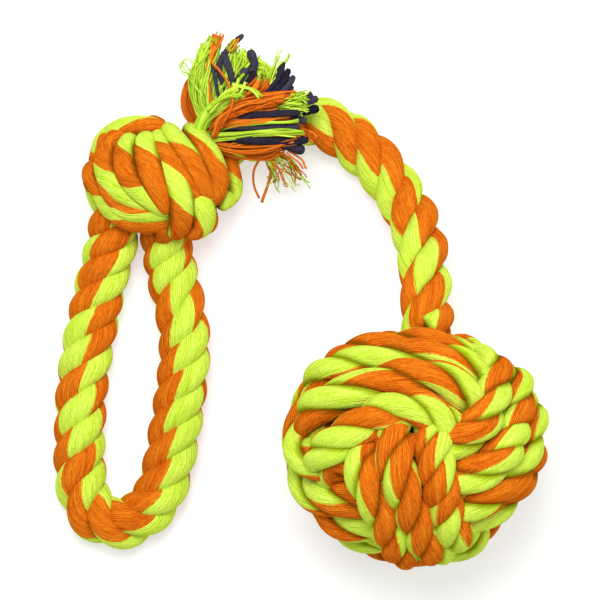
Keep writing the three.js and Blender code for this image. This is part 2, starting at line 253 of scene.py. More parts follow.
def lay_rope(path, outward, lobes, strand, helix, turns_back, sides):
    """Three strands along an even path. A lobe is one showing of a strand on the outward side:
    (way along the path, where its lime side points: 0 outward, 90 to the right, 180 away)."""
    along = travelled(path)
    heading = unit(np.gradient(path, axis=0))
    outward = unit(outward - (outward * heading).sum(1, keepdims=True) * heading)
    rightward = np.cross(heading, outward)
    ways = np.array([lobe[0] for lobe in lobes])
    gaps = np.diff(ways)
    near = gaps < WIDEST_GAP
    common = np.median(gaps[near]) if near.any() else USUAL_GAP
    steps = np.where(near, 1, np.maximum(1, np.round(gaps / common)))
    numbers = np.concatenate([[0], np.cumsum(steps)])
    beyond = np.arange(1, LOBES_BEYOND + 1)
    all_ways = np.concatenate(
        [ways[0] - (beyond * common)[::-1], ways, ways[-1] + beyond * common]
    )
    all_numbers = np.concatenate([numbers[0] - beyond[::-1], numbers, numbers[-1] + beyond])
    count = np.interp(along, all_ways, all_numbers)
    width = max(3, round(PACE_BLUR / (along[1] - along[0])))
    padded = np.concatenate(
        [
            count[0] + (np.arange(-width, 0)) * (count[1] - count[0]),
            count,
            count[-1] + np.arange(1, width + 1) * (count[-1] - count[-2]),
        ]
    )
    kernel = np.hanning(2 * width + 1)
    count = np.convolve(padded, kernel / kernel.sum(), "same")[width:-width]
    # Two strands meet this far round from the outward side of each; the painted crease shade is
    # darkest there.
    crease = math.radians(150) - math.acos(min(1, helix * math.sin(math.radians(60)) / strand))
    strands = []
    for number in range(3):
        phase = (count - number) * 2 * math.pi / 3
        radial = np.cos(phase)[:, None] * outward + np.sin(phase)[:, None] * rightward
        mine = [i for i, n in enumerate(numbers) if round(n) % 3 == number]
        at = np.array([float(numbers[i]) for i in mine])
        wanted = np.array([lobes[i][1] for i in mine])
        halves = np.array([lobes[i][2] if len(lobes[i]) > 2 else HALF_LIME for i in mine])
        slope = -turns_back * 360 / 3
        rest = np.degrees(np.unwrap(np.radians(wanted - slope * at)))
        turned = np.radians(eased(count, at, rest) + slope * count)
        half = np.radians(eased(count, at, halves))
        way = along / along[-1] * SWELL_WAY + number * SWELL_SHIFT
        slow = SLOW_SWELL * np.sin(way * SLOW_WAVE)
        quick = QUICK_SWELL * np.sin(way * QUICK_WAVE + 1)
        strands.append(
            strand_rings(
                path + radial * helix,
                radial,
                turned,
                half,
                strand * (1 + slow + quick),
                number * PATTERN_SHIFT,
                sides,
                crease=crease,
            )
        )
    return strands


class Wire:
    """A socket of a finish that plain sums can be written with."""

    def __init__(self, finish, socket):
        self.finish = finish
        self.socket = socket

    def __add__(self, other):
        return self.finish.maths("ADD", self, other)

    def __radd__(self, other):
        return self.finish.maths("ADD", other, self)

    def __sub__(self, other):
        return self.finish.maths("SUBTRACT", self, other)

    def __rsub__(self, other):
        return self.finish.maths("SUBTRACT", other, self)

    def __mul__(self, other):
        return self.finish.maths("MULTIPLY", self, other)

    def __rmul__(self, other):
        return self.finish.maths("MULTIPLY", other, self)

    def __pow__(self, other):
        return self.finish.maths("POWER", self, other)

    def __rpow__(self, other):
        return self.finish.maths("POWER", other, self)


class Finish:
    """A new material, and the nodes that are added to it."""

    def __init__(self, name):
        self.material = bpy.data.materials.new(name)
        self.material.use_nodes = True
        self.tree = self.material.node_tree
        self.shader = self.tree.nodes["Principled BSDF"]

    def plug(self, slot, value):
        if isinstance(value, Wire):
            self.tree.links.new(value.socket, slot)
        else:
            slot.default_value = value

    def node(self, kind, settings, inputs, output=0):
        added = self.tree.nodes.new(kind)
        for key, value in settings.items():
            setattr(added, key, value)
        for key, value in inputs.items():
            self.plug(added.inputs[key], value)
        return Wire(self, added.outputs[output])

    def maths(self, operation, *values):
        return self.node("ShaderNodeMath", {"operation": operation}, dict(enumerate(values)))

    def clipped(self, value):
        return self.maths("MINIMUM", self.maths("MAXIMUM", value, 0), 1)

    def mixed(self, share, first, second):
        return self.node(
            "ShaderNodeMix", {"data_type": "RGBA"}, {0: share, 6: first, 7: second}, 2
        )

    def attribute(self, name, output):
        return self.node("ShaderNodeAttribute", {"attribute_name": name}, {}, output)

    def set_shader(self, values):
        for key, value in values.items():
            self.plug(self.shader.inputs[key], value)


# The cotton's colours: a lit and a shaded copy of each, light on a ridge and deep in a groove as
# painted shade, and a painted crease shade, dark where strands meet.
LIME = (0.77, 0.98, 0.135, 1)
LIME_SHADED = (0.47, 0.7, 0.006, 1)
ORANGE = (0.9, 0.262, 0.015, 1)
ORANGE_SHADED = (0.49, 0.05, 0.001, 1)
CREASE_SHADE = (0.16, 0.1, 0.004, 1)
COTTON_ROUGHNESS = 0.95
COTTON_RELIEF = 0.0006
YARN_STRAY = 0.25
COLOUR_EDGE = 7
EDGE_STRAY = 0.05

cotton = Finish("cotton")
yarn = cotton.attribute("yarn", "Vector")
lime = cotton.attribute("lime", "Fac")
# How clear of a crease each point is, which sets the painted crease shade.
clear = cotton.attribute("clear", "Fac")
x, y, flow = [cotton.node("ShaderNodeSeparateXYZ", {}, {0: yarn}, part) for part in range(3)]


def streaks(across, along, detail):
    """Noise drawn out along the yarns, about 0 and mostly within 1 of it."""
    place = cotton.node(
        "ShaderNodeCombineXYZ", {}, {0: x * across, 1: y * across, 2: flow * along}
    )
    noise = cotton.node(
        "ShaderNodeTexNoise", {}, {"Vector": place, "Scale": 1.0, "Detail": detail}
    )
    return (noise - 0.5) * 5


lines = streaks(across=7, along=0.6, detail=1)
fibres = streaks(across=14, along=4, detail=3)
patches = streaks(across=2, along=0.5, detail=1)
turn = cotton.maths("ARCTAN2", y, x) * (YARNS / (2 * math.pi)) + lines * YARN_STRAY
groove = cotton.maths("ABSOLUTE", cotton.maths("FRACT", turn) - 0.5) * 2
ridge = 1 - groove**3
is_lime = cotton.clipped((lime + lines * EDGE_STRAY + fibres * EDGE_STRAY) * COLOUR_EDGE + 0.5)
# Ridges, loose fibres and all that is clear of a crease are lighter, and streaks vary it: the darker
# grooves between yarns and the darkening towards a crease are painted shade, while the fibres and
# streaks are tone that differs at random.
tone = ridge * 0.25 + lines * 0.2 + fibres * 0.28 + patches * 0.14 + clear * 0.85 - 0.5
tone = cotton.clipped(tone)
# A lit and a shaded copy of each colour, mixed by the tone.
lime_tone = cotton.mixed(tone, LIME_SHADED, LIME)
orange_tone = cotton.mixed(tone, ORANGE_SHADED, ORANGE)
colour = cotton.mixed(is_lime, orange_tone, lime_tone)
height = ridge * 0.5 + lines * 0.3 + fibres * 0.25
relief = cotton.node(
    "ShaderNodeBump", {}, {"Height": height, "Strength": 0.8, "Distance": COTTON_RELIEF}
)
# Painted crease shade goes over the colour, darkest where two strands meet.
cotton.set_shader(
    {
        "Base Color": cotton.mixed(clear, CREASE_SHADE, colour),
        "Normal": relief,
        "Roughness": COTTON_ROUGHNESS,
        "Specular IOR Level": 0,
    }
)

main_path = under_ball + smooth_route(np.array(main_places) * MM, ROPE_STEP)
main_lobes = lobes_at(main_path, main_lobe_dots)
upward = np.broadcast_to(up, main_path.shape)
strands = lay_rope(main_path, upward, main_lobes, STRAND, HELIX, TURNS_BACK, ROPE_SIDES)
main_rope = make_strands("main_rope_strands", strands, cotton, "main_rope")

# Handle loop
# The bight that a hand goes through, of the same rope as the main rope. It is the rope bent
# double, with both of its sides held in the knot.
loop_places = [
    (-113, 98, 17), (-115.4, 89, 15.5), (-117.4, 79, 12.5), (-121, 66, 10.5), (-124.2, 51.6, 10),
    (-127, 37, 10), (-129, 22, 10), (-129.8, 6, 10), (-129.8, -8, 10), (-128, -19.5, 10),
    (-123.6, -26.6, 10), (-117.6, -29.6, 10), (-111, -29.2, 10), (-104.6, -25.4, 10),
    (-99.5, -19.4, 10), (-96, -10, 10), (-93, 5, 10), (-90.6, 20, 10), (-89, 34, 10),
    (-89.2, 46, 10), (-91.3, 57, 10), (-94, 68, 10.5), (-95.9, 79, 12.5), (-96.2, 89, 15.5),
    (-95.6, 98, 17),
]
loop_lobe_dots = [
    (108, 235, 180), (99, 261, -130), (95, 292, -85), (91, 318, 98), (86, 350, 90), (81, 378, -90),
    (79, 408, 20), (78, 438, -45), (79, 466, 180), (84, 494, -90), (104, 518, 180),
    (131, 521, 140), (152, 503, 90), (162, 474, 90), (168, 443, 90), (174, 413, 45),
    (179, 383, 80), (181, 354, 50), (181, 325, 0, 62), (172, 292, 60), (165, 266, -10),
    (153, 246, 0),
]
loop_path = under_ball + smooth_route(np.array(loop_places) * MM, ROPE_STEP)
loop_lobes = lobes_at(loop_path, loop_lobe_dots)
upward = np.broadcast_to(up, loop_path.shape)
strands = lay_rope(loop_path, upward, loop_lobes, STRAND, HELIX, TURNS_BACK, ROPE_SIDES)
handle_loop = make_strands("handle_loop_strands", strands, cotton, "handle_loop")

# Handle knot
# An overhand knot in the doubled rope, of the same cotton, tied by hand and pulled so tight that
# its strands are pressed out of their lay. The strands that show follow the knot's round and dip
# under each other; three rings of rope lie under them.
KNOT_AXIS = np.array([0.606, 0.795, 0.0])
KNOT_STRAND_STEP = 0.0008
KNOT_LEVEL = 24
KNOT_PRESSED = 0.92
# How far a strand's ends dip under the others, in mm, and how its thickness goes from end to end.
DIP = 5
DIP_CURVE = 0.6
THIN_END = 0.75
BELLY = 0.3
BELLY_CURVE = 0.5
# How far round from its top a strand is clear of the others, and how much more at the knot's rim,
# which sets where its painted crease shade is darkest.
KNOT_CREASE = 1.35
RIM_CREASE = 0.8
KNOT_PATTERN_SHIFT = 90
knot_middle = under_ball + np.array([-97, 103.6, KNOT_LEVEL]) * MM
knot_half = np.array([24.5, 26.2, 17.2]) * MM
knot_frame = np.stack([KNOT_AXIS, np.cross(up, KNOT_AXIS), up])

# Each strand as its places in mm from the ball's middle, its thickness and how far it is raised
# over the knot's round in mm, and its lime side at shares of its length.
knot_ways = [
    (
        [(-123, 111), (-123.3, 101.5), (-119.5, 92.5), (-113, 87)],
        8.8, -8.5,
        [(0, 135), (0.25, 135), (0.4, -20), (0.7, -60), (0.85, -150), (1, -190)],
    ),
    (
        [(-121.5, 117), (-122, 109), (-120.7, 101), (-117.3, 94), (-110.5, 88.8),
         (-101.5, 87.5), (-94, 88)],
        9.4, -4,
        [(0, 190), (0.2, 160), (0.3, 70), (0.4, 0), (0.5, -60), (0.62, -120), (0.8, -165),
         (1, -190)],
    ),
    (
        [(-120, 101), (-116, 95), (-109, 91.5), (-101, 91), (-94.5, 91)],
        8, -2.6,
        [(0, 60), (0.5, 75), (1, 50)],
    ),
    (
        [(-122, 114), (-119.5, 119), (-114.5, 122.5), (-108, 124), (-100.5, 123.5), (-95, 121)],
        9.4, -3,
        [(0, 50), (0.3, 20), (0.45, -25), (0.6, -60), (0.75, -100), (1, -150)],
    ),
    (
        [(-109.5, 121), (-115.5, 119), (-118.6, 113.5), (-118, 106.3), (-114, 101),
         (-107, 96.8), (-98, 93.5)],
        9.8, -1.5,
        [(0, 200), (0.2, 180), (0.3, 150), (0.4, 90), (0.52, 30), (0.7, 0), (1, -20)],
    ),
    (
        [(-109.3, 119.5), (-111.3, 114), (-110.6, 107.5), (-107, 101), (-101.5, 96.5),
         (-95.5, 92)],
        9.4, -0.2,
        [(0, 0), (0.12, -60), (0.25, -150), (0.45, -190), (0.56, -260), (0.66, -330),
         (1, -370)],
    ),
    (
        [(-103.2, 119.5), (-103, 113.5), (-101, 106.5), (-98, 98.8), (-95.5, 93)],
        10.4, 0.7,
        [(0, -10), (0.15, -50), (0.27, -110), (0.4, -165), (1, -235)],
    ),
    (
        [(-97.7, 113), (-94, 107), (-90.5, 100), (-89.3, 92), (-90, 86.5), (-91.7, 83.5)],
        9.8, 0.5,
        [(0, 60), (0.25, 15), (0.5, -30), (0.66, -90), (0.8, -165), (1, -230)],
    ),
    (
        [(-86, 98.5), (-82.5, 95), (-81, 90), (-82, 86), (-86, 83.5)],
        9.4, -0.5,
        [(0, 20), (0.4, -20), (0.65, -60), (1, -120)],
    ),
    (
        [(-98.8, 121), (-97, 116), (-92.5, 109), (-86.5, 101), (-81, 94.5)],
        8.4, 0,
        [(0, 0), (0.12, -50), (0.22, -130), (0.4, -180), (1, -230)],
    ),
    (
        [(-95, 123), (-90.5, 117), (-86, 110.5), (-82.5, 103), (-79, 95.5)],
        9.2, 0.8,
        [(0, 10), (0.15, -20), (0.3, -80), (0.45, -130), (0.6, -180), (1, -230)],
    ),
    (
        [(-86, 123), (-81.5, 117), (-77.8, 110), (-76, 103), (-77.5, 96.5)],
        10, 0.3,
        [(0, 10), (0.15, -30), (0.3, -60), (0.5, -85), (0.65, -130), (0.8, -180), (1, -240)],
    ),
    (
        [(-78, 119.5), (-73.5, 113), (-71, 105.5), (-70.5, 99.5), (-74.5, 94.5)],
        9.2, -2,
        [(0, 240), (0.45, 210), (0.6, 150), (0.75, 70), (1, 20)],
    ),
]


def knot_strand(places, thick, raised, limes):
    path = under_ball + smooth_route(
        [(x * MM, y * MM, KNOT_LEVEL * MM) for x, y in places], KNOT_STRAND_STEP
    )
    share = travelled(path) / travelled(path)[-1]
    out = (((path - knot_middle) @ knot_frame.T / knot_half)[:, :2] ** 2).sum(1)
    path[:, 2] += np.sqrt(np.maximum(0, 1 - out)) * knot_half[2] + raised * MM
    path[:, 2] -= DIP * MM * (1 - np.sin(share * math.pi) ** DIP_CURVE)
    local = (path - knot_middle) @ knot_frame.T / knot_half**2
    turned = np.radians(np.interp(share, [at for at, _ in limes], [side for _, side in limes]))
    radius = thick / 2 * MM * (THIN_END + BELLY * np.sin(share * math.pi) ** BELLY_CURVE)
    half = np.full(len(path), math.pi / 2)
    crease = KNOT_CREASE + RIM_CREASE * np.clip(out, 0, 1) ** 2
    return strand_rings(
        path,
        local @ knot_frame,
        turned,
        half,
        radius,
        thick * KNOT_PATTERN_SHIFT,
        ROPE_SIDES,
        squash=KNOT_PRESSED,
        crease=crease[:, None],
    )


knot_strands = [knot_strand(*way) for way in knot_ways]
make_strands("knot_strands", knot_strands, cotton, "handle_knot")

# Each ring under the strands as its place along the knot, its place across, and its reach.
knot_ring_ways = [(11.5, -1, 15.6), (-2, 1.5, 21.6), (-13.5, 5, 15.4)]
KNOT_END = 32.1
RING_HALF_HEIGHT = 12.5
RING_SUNK = 4.1
RING_STRAND = 0.0042
RING_HELIX = 0.0034
RING_POINTS = 150
RING_LOBES = 10
RING_FIRST_LOBE = 0.004
RING_LOBE_GAP = 0.0125
# Each ring after the first shows this much less lime, in degrees.
LESS_LIME = 25
TIGHT_TURNS_BACK = 1.5
TIGHT_SIDES = 30

around = np.linspace(0, 2 * math.pi, RING_POINTS)
for number, (ahead, aside, reach) in enumerate(knot_ring_ways):
    shorter = math.sqrt(1 - (ahead / KNOT_END) ** 2)
    ring = np.stack(
        [
            ahead + around * 0,
            aside + reach * np.cos(around),
            RING_HALF_HEIGHT * shorter * np.sin(around) - RING_SUNK,
        ],
        1,
    )
    path = evenly(ring * MM @ knot_frame + knot_middle, ROPE_STEP)
    reach_of_lime = 90 - LESS_LIME * number
    lobes = [
        (RING_FIRST_LOBE + RING_LOBE_GAP * i, 180, reach_of_lime) for i in range(RING_LOBES)
    ]
    strands = lay_rope(
        path, path - knot_middle, lobes, RING_STRAND, RING_HELIX, TIGHT_TURNS_BACK, TIGHT_SIDES
    )
    make_strands(f"knot_ring_{number}", strands, cotton, "handle_knot")

# Tassel
# Past the knot the rope's end is opened into its three strands, and these into their yarns: fine
# lime and orange cover yarns of softly spun cotton round thick dark core yarns. They are cut off
# square, teased out by hand, and held by the knot alone.
MM_PER_DOT = 0.385
YARN_STEP = 0.0005
YARN_RELIEF = 0.0004
# A yarn thicker than this many mm is a core yarn: rounder, uneven, and blunt at its end.
CORE_YARN = 2
CORE_SHAPE = (30, 12)
COVER_SHAPE = (14, 5)
CORE_END = [0.9, 0.6]
BIG_LUMP = 0.05
BIG_LUMP_WAVE = 31
SMALL_LUMP = 0.04
SMALL_LUMP_WAVE = 17
# Yarns stray more and more towards their cut ends, in waves sideways and up and down.
STRAY_CURVE = 1.2
SLOW_SWAY = 6
QUICK_SWAY = 11
LIFT_SWAY = 8
ANY_START = 6.3
# Most yarns keep nearly their whole length, and a few are much shorter.
CUT_CURVE = 1.5
FEWEST_POINTS = 8
THINNEST = 0.8
THICKEST = 1.15
PATTERN_SPAN = 900
# A yarn's rings may start on any side of it, so they start a little off its own side.
LEAN = 0.3

yarn_of = {}
for colour, light, deep in [
    ("lime", (0.72, 0.96, 0.1, 1), (0.25, 0.45, 0.006, 1)),
    ("orange", (0.88, 0.24, 0.02, 1), (0.38, 0.05, 0.003, 1)),
    ("dark", (0.06, 0.052, 0.08, 1), (0.008, 0.007, 0.014, 1)),
]:
    finish = Finish(colour + "_yarn")
    place = finish.attribute("yarn", "Vector")
    # A loose yarn keeps its own lightness where a strand keeps how far inside its lime it is.
    own_tone = finish.attribute("lime", "Fac")
    fibres = finish.node(
        "ShaderNodeTexNoise", {}, {"Vector": place, "Scale": 4.0, "Detail": 3.0}
    )
    tone = finish.clipped(own_tone * 0.8 + fibres * 1.2 - 0.45)
    relief = finish.node(
        "ShaderNodeBump", {}, {"Height": fibres, "Strength": 0.6, "Distance": YARN_RELIEF}
    )
    finish.set_shader(
        {
            "Base Color": finish.mixed(tone, deep, light),
            "Normal": relief,
            "Roughness": COTTON_ROUGHNESS,
            "Specular IOR Level": 0,
        }
    )
    yarn_of[colour] = finish


def tuft(name, node, sprays):
    """The pieces of one tuft, one for each colour of yarn. A spray is (colour, count, thickness
    in mm, route as dots across and down and mm over the table, half widths in dots, half depths
    in mm, raggedness, wander in mm)."""
    strands = {"lime": [], "orange": [], "dark": []}
    for colour, count, thick, route, widths, depths, ragged, wander in sprays:
        middle = smooth_route([seen(*spot) for spot in route], YARN_STEP)
        share = travelled(middle) / travelled(middle)[-1]
        heading = unit(np.gradient(middle, axis=0))
        side = unit(np.cross(heading, up))
        lifted = np.cross(side, heading)
        wide = np.interp(share, np.linspace(0, 1, len(widths)), widths) * MM_PER_DOT * MM
        deep = np.interp(share, np.linspace(0, 1, len(depths)), depths) * MM
        for n in range(count):
            a = (n + random.random()) / count * 2 - 1 if count > 1 else 0
            b = random.uniform(-1, 1) * math.sqrt(max(0, 1 - a * a)) if count > 1 else 0
            sway = [random.uniform(0, ANY_START) for _ in range(4)]
            grow = wander * MM * share**STRAY_CURVE
            path = middle + side * (a * wide)[:, None] + lifted * (b * deep)[:, None]
            strayed = np.sin(share * SLOW_SWAY + sway[0]) + np.sin(share * QUICK_SWAY + sway[1])
            path += side * (grow * strayed)[:, None]
            path += lifted * (grow * np.sin(share * LIFT_SWAY + sway[2]))[:, None]
            kept = 1 - ragged * random.random() ** CUT_CURVE
            path = path[: max(FEWEST_POINTS, int(len(path) * kept))]
            rings, sides = CORE_SHAPE if thick > CORE_YARN else COVER_SHAPE
            path = evenly(path, travelled(path)[-1] / rings)
            along = np.linspace(0, 1, len(path))
            radius = thick / 2 * MM * random.uniform(THINNEST, THICKEST) * np.ones(len(path))
            if thick > CORE_YARN:
                big = BIG_LUMP * np.sin(along * BIG_LUMP_WAVE + sway[3])
                small = SMALL_LUMP * np.sin(along * SMALL_LUMP_WAVE)
                radius *= 1 + big + small
                radius[-2:] *= CORE_END
            start = random.uniform(0, PATTERN_SPAN)
            radial = np.cross(np.gradient(path, axis=0), side[0] + up * LEAN)
            still = np.zeros(len(path))
            ring, yarn, _, clear = strand_rings(path, radial, still, still, radius, start, sides)
            tone = np.full(ring.shape[:2], random.random())
            strands[colour].append((ring, yarn, tone, clear))
    for colour, found in strands.items():
        if found:
            make_strands(f"{name}_{colour}", found, yarn_of[colour], node)


upper_sprays = [
    ("orange", 34, 1.0, [(204, 132, 27), (190, 109, 30), (190, 90, 31), (204, 66, 31), (218, 34, 30)],
     [5, 8, 6, 3, 3], [2, 3, 3, 2, 1], 0.3, 0.3),
    ("lime", 70, 0.8, [(208, 126, 31), (201, 98, 35), (203, 72, 36), (214, 36, 33)],
     [5, 9, 10, 4], [2, 3, 3, 2], 0.3, 1.1),
    ("lime", 9, 0.7, [(206, 118, 34), (196, 98, 37), (197, 74, 38), (208, 46, 35)],
     [3, 6, 8, 6], [1, 2, 2, 2], 0.3, 1.8),
    ("orange", 9, 0.8, [(212, 110, 34), (207, 80, 37), (212, 55, 37), (222, 31, 35)],
     [1, 3, 2, 5], [1, 1, 1, 1], 0.25, 0.8),
    ("orange", 7, 0.8, [(229, 51, 39), (233, 45, 41), (237, 37, 40)], [2.5, 3, 2], [1, 1], 0.3, 0.4),
    ("lime", 3, 0.8, [(228, 50, 40), (233, 43, 41.5), (236, 39, 41)], [2, 3, 2], [1, 1], 0.2, 0.4),
    ("dark", 1, 3.0, [(220, 112, 34), (224, 88, 37), (219, 66, 38), (229, 48, 38), (243, 35, 36)],
     [0], [0], 0, 0),
    ("dark", 1, 2.8, [(224, 110, 36), (234, 88, 39), (228, 66, 40), (223, 52, 38)], [0], [0], 0, 0),
    ("dark", 1, 1.7, [(221, 108, 37), (216, 86, 40), (212, 64, 40)], [0], [0], 0, 0),
    ("lime", 6, 0.35, [(204, 96, 38), (192, 78, 39), (183, 70, 38), (186, 62, 37), (196, 68, 38)],
     [2, 5, 4, 3, 2], [1, 2, 2, 2], 0.6, 1.2),
    ("orange", 2, 0.8, [(211, 62, 42), (222, 73, 44), (230, 88, 44), (232, 104, 44), (221, 130, 42)],
     [0.8, 0.8, 0.8], [0.4, 0.4], 0.05, 0.2),
    ("lime", 22, 0.8, [(212, 120, 30), (213, 98, 33), (215, 80, 34), (221, 58, 34)],
     [3, 6, 7, 5], [2, 2, 2], 0.3, 0.8),
]
middle_sprays = [
    ("lime", 60, 1.0, [(197, 136, 29), (206, 117, 34), (222, 103, 37), (246, 92, 36)],
     [6, 6, 6, 6], [2.5, 2.5, 2.5, 2.5], 0.25, 0.4),
    ("lime", 90, 0.85, [(216, 112, 34), (231, 88, 36), (240, 66, 36), (246, 48, 34)],
     [6, 10, 14, 15], [3, 4, 4, 4], 0.35, 1.2),
    ("lime", 70, 0.85, [(222, 110, 34), (242, 88, 38), (256, 68, 36), (267, 76, 32), (266, 96, 29)],
     [5, 8, 9, 6, 6], [3, 4, 4, 4], 0.4, 1.1),
    ("dark", 1, 3.3, [(232, 92, 38), (240, 80, 42), (246, 68, 43)], [0], [0], 0, 0),
    ("dark", 1, 3.0, [(240, 92, 38), (249, 82, 42), (255, 72, 43)], [0], [0], 0, 0),
    ("dark", 1, 3.0, [(240, 84, 38), (254, 66, 40), (250, 50, 41)], [0], [0], 0, 0),
    ("orange", 10, 1.2, [(240, 98, 36), (252, 86, 42), (258, 76, 43)], [2, 4, 6], [1, 2, 2], 0.3, 0.5),
    ("orange", 8, 1.2, [(250, 98, 36), (264, 88, 38), (271, 78, 38)], [2, 3, 4], [1, 2, 2], 0.3, 0.5),
    ("dark", 1, 2.6, [(250, 104, 35), (268, 90, 38), (279, 76, 38), (283, 62, 37)], [0], [0], 0, 0),
    ("dark", 1, 2.6, [(252, 106, 35), (271, 94, 38), (283, 82, 38), (289, 69, 37)], [0], [0], 0, 0),
    ("dark", 1, 2.6, [(254, 108, 34), (274, 96, 37), (287, 86, 37), (294, 76, 36)], [0], [0], 0, 0),
    ("dark", 1, 2.6, [(254, 110, 33), (276, 99, 35), (293, 86, 35)], [0], [0], 0, 0),
    ("dark", 1, 2.5, [(250, 102, 33), (264, 90, 35), (277, 82, 35)], [0], [0], 0, 0),
    ("lime", 12, 0.6, [(252, 100, 35), (268, 84, 37), (276, 66, 37), (284, 50, 35)],
     [2, 4, 5, 6], [1, 2, 2, 2], 0.45, 0.8),
    ("lime", 5, 1.1, [(208, 112, 42), (224, 96, 44), (238, 88, 44), (247, 74, 44)],
     [2, 2, 5, 4], [0.5, 0.5], 0.3, 0.6),
    ("lime", 3, 1.0, [(212, 104, 43), (228, 96, 45), (243, 94, 44)], [1, 1, 2], [0.5, 0.5], 0.1, 0.3),
    ("lime", 3, 1.0, [(232, 84, 44), (248, 88, 44), (263, 98, 42)], [1, 1, 2], [0.5, 0.5], 0.1, 0.3),
]
side_sprays = [
    ("orange", 50, 0.9, [(213, 130, 31), (232, 108, 37), (262, 98, 38), (297, 95, 36)],
     [5, 7, 6, 5], [3, 3, 3, 3], 0.15, 0.4),
    ("orange", 14, 0.8, [(216, 128, 35), (234, 113, 39), (258, 106, 41), (288, 98, 40)],
     [3, 6, 6, 5], [1, 1.5, 1.5], 0.2, 0.8),
    ("dark", 1, 3.1, [(216, 124, 31), (240, 117, 39), (268, 114, 42), (300, 113, 40)],
     [0], [0], 0, 0),
    ("dark", 1, 2.6, [(222, 124, 32), (244, 121, 37), (264, 119, 38)], [0], [0], 0, 0),
    ("dark", 1, 3.1, [(214, 126, 31), (240, 127, 37), (300, 127, 38)], [0], [0], 0, 0),
    ("dark", 1, 2.9, [(214, 132, 30), (246, 132, 35), (300, 131, 36)], [0], [0], 0, 0),
    ("dark", 1, 3.1, [(214, 136, 29), (246, 140, 39.5), (275, 141, 38), (308, 140, 34)],
     [0], [0], 0, 0),
    ("dark", 1, 4.1, [(262, 142, 31), (284, 144, 33), (304, 151, 31)], [0], [0], 0, 0),
    ("dark", 1, 3.0, [(280, 106, 33), (296, 104, 35), (312, 93, 35)], [0], [0], 0, 0),
    ("dark", 1, 3.0, [(280, 108, 33), (298, 105, 35), (318, 98, 35)], [0], [0], 0, 0),
    ("dark", 1, 3.0, [(280, 112, 32), (300, 112, 34), (319, 108, 34)], [0], [0], 0, 0),
    ("dark", 1, 2.9, [(290, 118, 33), (306, 121, 34)], [0], [0], 0, 0),
    ("lime", 50, 0.6, [(278, 106, 35), (294, 104, 38), (309, 104, 36)],
     [5, 10, 14], [2, 3, 3], 0.35, 1.0),
    ("orange", 6, 0.8, [(214, 138, 38), (222, 120, 41), (240, 110, 43), (276, 100, 42)],
     [2, 4, 5, 5], [1, 1, 1], 0.2, 0.6),
    ("orange", 5, 0.9, [(216, 131, 31), (232, 123, 38), (258, 121, 41), (298, 112, 39)],
     [2, 3, 2, 2], [1, 1], 0.3, 0.5),
    ("lime", 4, 0.8, [(214, 132, 31), (236, 125, 38), (262, 123, 41), (300, 120, 41)],
     [2, 2, 1, 2], [1, 1], 0.1, 0.4),
    ("orange", 3, 0.8, [(228, 146, 36), (250, 141, 39), (280, 142, 38), (302, 138, 37)],
     [2, 2, 2, 2], [1, 1], 0.2, 0.5),
    ("lime", 4, 0.8, [(212, 135, 37), (236, 134, 40), (262, 131.5, 42), (306, 132.5, 41)],
     [2, 1.5, 1, 2], [1, 1, 1], 0.12, 0.4),
    ("lime", 4, 0.8, [(214, 140, 36), (236, 138, 39), (266, 134.5, 41), (306, 133.5, 40)],
     [2, 1.5, 1, 3], [1, 1, 1], 0.12, 0.4),
    ("orange", 26, 0.9, [(212, 142, 30), (232, 146, 35), (258, 147, 37), (296, 137, 35)],
     [5, 7, 6, 4], [2, 2, 2, 2], 0.25, 0.7),
    ("orange", 26, 0.9, [(212, 144, 29), (236, 151, 31), (262, 154, 31), (290, 144, 30)],
     [5, 7, 5, 4], [2, 3, 3, 3], 0.25, 0.7),
    ("orange", 8, 0.9, [(280, 138, 33), (298, 132, 34), (318, 140, 32)],
     [3, 4, 4], [2, 2, 2], 0.25, 0.5),
    ("lime", 6, 0.8, [(230, 150, 31), (244, 156, 31), (262, 160, 29)], [3, 3, 4], [2, 2], 0.3, 0.6),
    ("orange", 12, 0.6, [(262, 150, 31), (274, 160, 28), (285, 174, 22), (290, 186, 16)],
     [4, 9, 18, 22], [1, 2, 3], 0.5, 1.3),
    ("lime", 26, 0.45, [(262, 150, 31), (275, 160, 28), (284, 172, 21), (288, 190, 14)],
     [4, 10, 20, 26], [1, 2, 3], 0.55, 1.6),
    ("orange", 1, 0.9, [(262, 156, 30), (254, 170, 24), (254, 186, 17), (259, 198, 13)],
     [0], [0], 0, 0),
    ("orange", 1, 1.1, [(272, 160, 29), (270, 178, 20), (262, 202, 11)], [0], [0], 0, 0),
    ("orange", 3, 0.9, [(286, 152, 30), (296, 160, 28), (306, 172, 24)],
     [3, 5, 6], [1, 1], 0.2, 0.5),
]
tuft("tuft_upper", "tassel_tuft_upper", upper_sprays)
tuft("tuft_middle", "tassel_tuft_middle", middle_sprays)
tuft("tuft_side", "tassel_tuft_side", side_sprays)

# Ball core
# The inner ball that the rope is wound on and pulled tight, held by the winding alone. It is out of
# sight, so it is taken to be one plain ball of rubber coloured dark brown as painted shade: only the
# shade in the gaps between the turns shows of it.
CORE_RADIUS = 0.031
# Dark brown painted shade for the gaps between the turns, mottled by a random grain.
RUBBER_AND_GAP_SHADE = (0.1, 0.055, 0.04, 1)
RUBBER_AND_GAP_SHADE_DEEP = (0.035, 0.02, 0.016, 1)
RUBBER_ROUGHNESS = 0.85
RUBBER_GRAIN = 700.0
RUBBER_RELIEF = 0.0003

